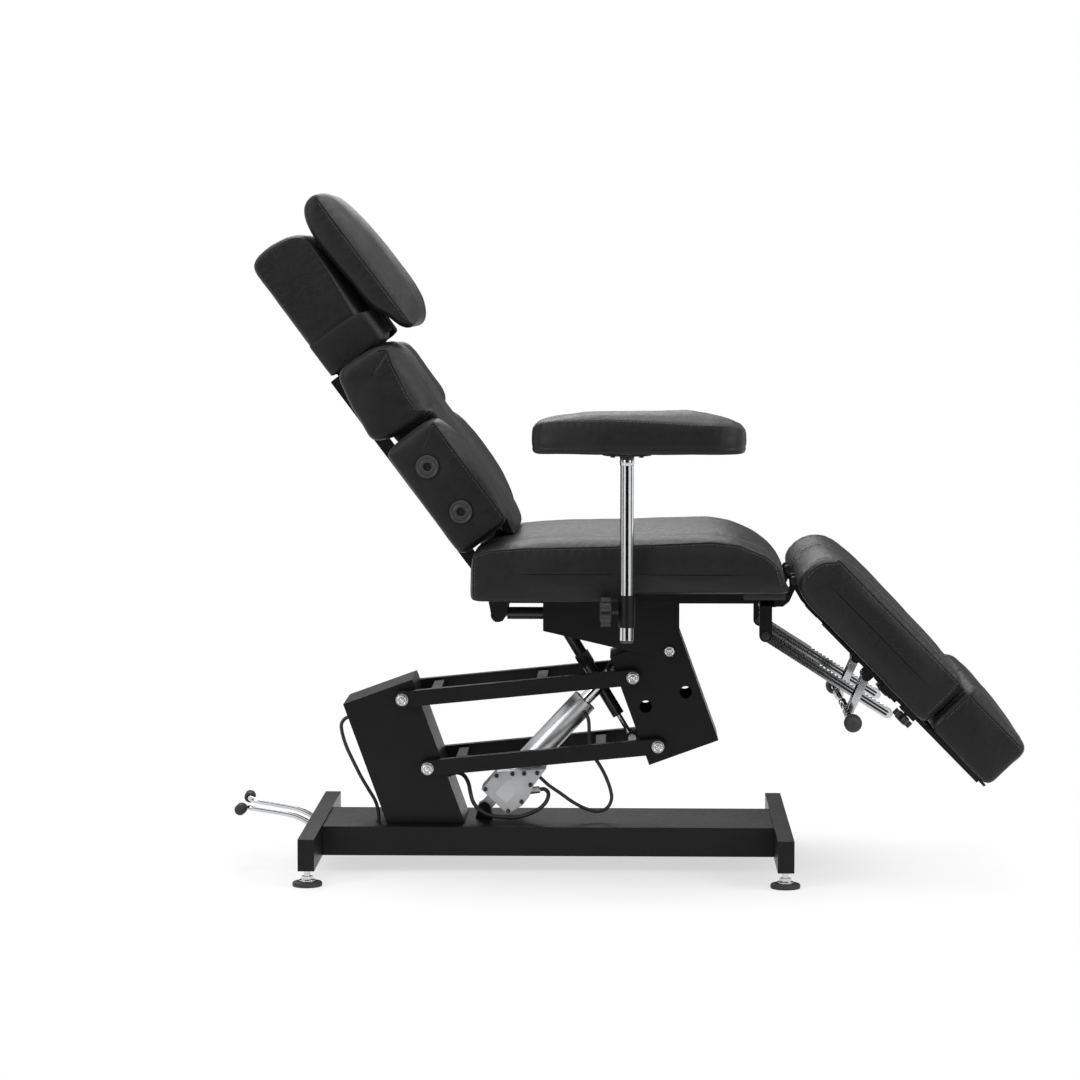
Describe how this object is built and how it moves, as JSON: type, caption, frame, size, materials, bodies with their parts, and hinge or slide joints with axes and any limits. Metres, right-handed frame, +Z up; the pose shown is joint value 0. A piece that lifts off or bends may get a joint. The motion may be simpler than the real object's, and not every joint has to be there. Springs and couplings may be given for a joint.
{
  "type": "tattoo chair",
  "caption": "Electric tattoo chair: parallelogram lift, tilting seat, reclining backrest with pillow, split extending leg rests on ratchets, and a swivelling armrest.",
  "frame": {"origin": "on the floor under the middle of the base, halfway between the two crossbars", "axes": "+X towards the leg rests, -X towards the headrest, +Z up, the armrest on the -Y side"},
  "size_m": [1.5105, 0.7802, 1.3048],
  "materials": {
    "black_steel": "satin powder coat",
    "black_plastic": "matte",
    "steel_bar": "zinc plated",
    "cable_rubber": "matte",
    "chrome": "bright",
    "grey_aluminium": "cast and extruded, satin",
    "brass_screw": "machined",
    "black_cylinder": "satin",
    "plywood": "sanded",
    "black_upholstery": "soft matte synthetic leather over foam"
  },
  "bodies": {
    "base": {"base_beam": "black_steel", "base_crossbars": "black_steel", "column": "black_steel", "control_box": "black_plastic", "power_inlet": "black_plastic", "pedal_shaft": "steel_bar", "actuator_bracket": "black_steel", "column_pivots": "steel_bar", "motor_cables": "cable_rubber"},
    "upper_arm": {"upper_arm": "black_steel"},
    "lower_arm": {"lower_arm": "black_steel"},
    "carriage": {"carriage": "black_steel", "carriage_pivots": "steel_bar"},
    "lift_actuator": {"lift_gearbox": "grey_aluminium", "gearbox_cover": "grey_aluminium", "lift_tube": "grey_aluminium", "lift_motor": "black_plastic", "lift_leadscrew": "brass_screw", "actuator_cable": "cable_rubber"},
    "lift_rod": {"lift_rod": "chrome"},
    "seat": {"seat_frame": "black_steel", "seat_board": "plywood", "seat_cushion": "black_upholstery", "armrest_sleeves": "black_steel", "hinge_pins": "steel_bar"},
    "tilt_rod": {"tilt_rod": "chrome"},
    "tilt_cylinder": {"tilt_cylinder": "black_cylinder"},
    "back": {"back_frame": "black_steel", "back_boards": "plywood", "lower_back_pad": "black_upholstery", "mid_back_pad": "black_upholstery", "head_block": "black_upholstery", "accessory_sockets": "black_plastic"},
    "pillow": {"head_pillow": "black_upholstery", "pillow_strap": "black_upholstery"},
    "back_cylinder": {"back_cylinder": "black_cylinder"},
    "back_rod": {"back_rod": "chrome"},
    "levelling_foot_head_near": {"levelling_foot_head_near": "chrome"},
    "levelling_foot_head_far": {"levelling_foot_head_far": "chrome"},
    "levelling_foot_toe_near": {"levelling_foot_toe_near": "chrome"},
    "levelling_foot_toe_far": {"levelling_foot_toe_far": "chrome"},
    "pedal_near": {"pedal_near": "chrome"},
    "leg_near": {"leg_frame_near": "black_steel", "calf_pad_near": "black_upholstery"},
    "foot_near": {"foot_frame_near": "black_steel", "foot_pad_near": "black_upholstery"},
    "ratchet_bar_near": {"ratchet_bar_near": "chrome"},
    "release_lever_near": {"release_lever_near": "chrome"},
    "extension_knob_near": {"extension_knob_near": "black_plastic"},
    "pedal_far": {"pedal_far": "chrome"},
    "leg_far": {"leg_frame_far": "black_steel", "calf_pad_far": "black_upholstery"},
    "foot_far": {"foot_frame_far": "black_steel", "foot_pad_far": "black_upholstery"},
    "ratchet_bar_far": {"ratchet_bar_far": "chrome"},
    "release_lever_far": {"release_lever_far": "chrome"},
    "extension_knob_far": {"extension_knob_far": "black_plastic"},
    "armrest_post": {"armrest_post": "chrome"},
    "armrest_pad": {"armrest_pad": "black_upholstery"},
    "clamp_knob": {"clamp_knob": "black_plastic"}
  },
  "joints": [
    {"name": "lift", "type": "hinge", "parent": "base", "child": "upper_arm", "pos_m": [-0.281, 0, 0.332], "axis": [0, -1, 0], "range_deg": [-13, 14]},
    {"name": "lower_arm_swing", "type": "hinge", "parent": "base", "child": "lower_arm", "pos_m": [-0.23243, 0, 0.19856], "axis": [0, -1, 0], "range_deg": [-13, 14]},
    {"name": "carriage_level", "type": "hinge", "parent": "upper_arm", "child": "carriage", "pos_m": [0.16283, 0, 0.37599], "axis": [0, -1, 0], "range_deg": [-14, 13]},
    {"name": "actuator_swing", "type": "hinge", "parent": "base", "child": "lift_actuator", "pos_m": [-0.127, 0, 0.108], "axis": [0, -1, 0], "range_deg": [-12, 13], "deforming": ["motor_cables", "actuator_cable"]},
    {"name": "lift_rod_travel", "type": "slide", "parent": "lift_actuator", "child": "lift_rod", "axis": [0.6813, 0, 0.732], "range_m": [-0.068, 0.073]},
    {"name": "seat_tilt", "type": "hinge", "parent": "carriage", "child": "seat", "pos_m": [0.233, 0, 0.426], "axis": [0, -1, 0], "range_deg": [-5, 10]},
    {"name": "tilt_spring_swing", "type": "hinge", "parent": "carriage", "child": "tilt_rod", "pos_m": [0.162, 0.04, 0.242], "axis": [0, -1, 0], "range_deg": [-4, 7]},
    {"name": "tilt_spring_travel", "type": "slide", "parent": "tilt_rod", "child": "tilt_cylinder", "axis": [-0.5196, 0, 0.8544], "range_m": [-0.03, 0.016]},
    {"name": "back_recline", "type": "hinge", "parent": "seat", "child": "back", "pos_m": [-0.09, 0, 0.556], "axis": [0, -1, 0], "range_deg": [-25, 53]},
    {"name": "back_spring_swing", "type": "hinge", "parent": "back", "child": "back_cylinder", "pos_m": [-0.098, -0.02, 0.492], "axis": [0, -1, 0], "range_deg": [-55, 26]},
    {"name": "back_spring_travel", "type": "slide", "parent": "back_cylinder", "child": "back_rod", "axis": [1, 0, 0], "range_m": [-0.056, 0.028]},
    {"name": "pillow_slide", "type": "slide", "parent": "back", "child": "pillow", "axis": [-0.6, 0, 0.8], "range_m": [0, 0.1]},
    {"name": "leg_near_swing", "type": "hinge", "parent": "seat", "child": "leg_near", "pos_m": [0.468, -0.15, 0.569], "axis": [0, -1, 0], "range_deg": [-30, 26]},
    {"name": "ratchet_near_swing", "type": "hinge", "parent": "seat", "child": "ratchet_bar_near", "pos_m": [0.415, -0.15, 0.463], "axis": [0, -1, 0], "range_deg": [-34, 29]},
    {"name": "foot_near_extend", "type": "slide", "parent": "leg_near", "child": "foot_near", "axis": [0.7009, 0, -0.7133], "range_m": [0, 0.12]},
    {"name": "release_near_pull", "type": "hinge", "parent": "leg_near", "child": "release_lever_near", "pos_m": [0.60602, -0.15, 0.38917], "axis": [0, -1, 0], "range_deg": [0, 15], "stiffness_Nm_per_rad": 6, "springref_deg": -28.65},
    {"name": "extension_knob_near_turn", "type": "hinge", "parent": "leg_near", "child": "extension_knob_near", "pos_m": [0.67229, -0.22, 0.31831], "axis": [0.7133, 0, 0.7009], "continuous": true},
    {"name": "leg_far_swing", "type": "hinge", "parent": "seat", "child": "leg_far", "pos_m": [0.468, 0.15, 0.569], "axis": [0, -1, 0], "range_deg": [-30, 26]},
    {"name": "ratchet_far_swing", "type": "hinge", "parent": "seat", "child": "ratchet_bar_far", "pos_m": [0.415, 0.15, 0.463], "axis": [0, -1, 0], "range_deg": [-34, 29]},
    {"name": "foot_far_extend", "type": "slide", "parent": "leg_far", "child": "foot_far", "axis": [0.7009, 0, -0.7133], "range_m": [0, 0.12]},
    {"name": "release_far_pull", "type": "hinge", "parent": "leg_far", "child": "release_lever_far", "pos_m": [0.60602, 0.15, 0.38917], "axis": [0, -1, 0], "range_deg": [0, 15], "stiffness_Nm_per_rad": 6, "springref_deg": -28.65},
    {"name": "extension_knob_far_turn", "type": "hinge", "parent": "leg_far", "child": "extension_knob_far", "pos_m": [0.67229, 0.22, 0.31831], "axis": [0.7133, 0, 0.7009], "continuous": true},
    {"name": "armrest_height", "type": "slide", "parent": "seat", "child": "armrest_post", "axis": [0, 0, 1], "range_m": [-0.14, 0.03]},
    {"name": "armrest_turn", "type": "hinge", "parent": "armrest_post", "child": "armrest_pad", "pos_m": [0.151, -0.335, 0.81], "axis": [0, 0, 1], "continuous": true},
    {"name": "clamp_knob_turn", "type": "hinge", "parent": "seat", "child": "clamp_knob", "pos_m": [0.11, -0.335, 0.5255], "axis": [1, 0, 0], "continuous": true},
    {"name": "pedal_near_press", "type": "hinge", "parent": "base", "child": "pedal_near", "pos_m": [-0.4, -0.04, 0.0475], "axis": [0, -1, 0], "range_deg": [0, 4], "stiffness_Nm_per_rad": 12, "springref_deg": -20.05},
    {"name": "pedal_far_press", "type": "hinge", "parent": "base", "child": "pedal_far", "pos_m": [-0.4, 0.04, 0.0475], "axis": [0, -1, 0], "range_deg": [0, 4], "stiffness_Nm_per_rad": 12, "springref_deg": -20.05},
    {"name": "levelling_head_near_screw", "type": "slide", "parent": "base", "child": "levelling_foot_head_near", "axis": [0, 0, 1], "range_m": [-0.01, 0]},
    {"name": "levelling_head_far_screw", "type": "slide", "parent": "base", "child": "levelling_foot_head_far", "axis": [0, 0, 1], "range_m": [-0.01, 0]},
    {"name": "levelling_toe_near_screw", "type": "slide", "parent": "base", "child": "levelling_foot_toe_near", "axis": [0, 0, 1], "range_m": [-0.01, 0]},
    {"name": "levelling_toe_far_screw", "type": "slide", "parent": "base", "child": "levelling_foot_toe_far", "axis": [0, 0, 1], "range_m": [-0.01, 0]}
  ],
  "couplings": [
    {"joint": "lower_arm_swing", "follows": "lift", "ratio": 1},
    {"joint": "carriage_level", "follows": "lift", "ratio": -1},
    {"joint": "actuator_swing", "follows": "lift", "ratio": 0.89},
    {"joint": "lift_rod_travel", "follows": "lift", "m_per_rad": 0.2928},
    {"joint": "tilt_spring_swing", "follows": "seat_tilt", "ratio": 0.585},
    {"joint": "tilt_spring_travel", "follows": "seat_tilt", "m_per_rad": -0.1593},
    {"joint": "back_spring_swing", "follows": "back_recline", "ratio": -1.03},
    {"joint": "back_spring_travel", "follows": "back_recline", "m_per_rad": -0.0584},
    {"joint": "ratchet_near_swing", "follows": "leg_near_swing", "ratio": 1.1},
    {"joint": "ratchet_far_swing", "follows": "leg_far_swing", "ratio": 1.1}
  ]
}
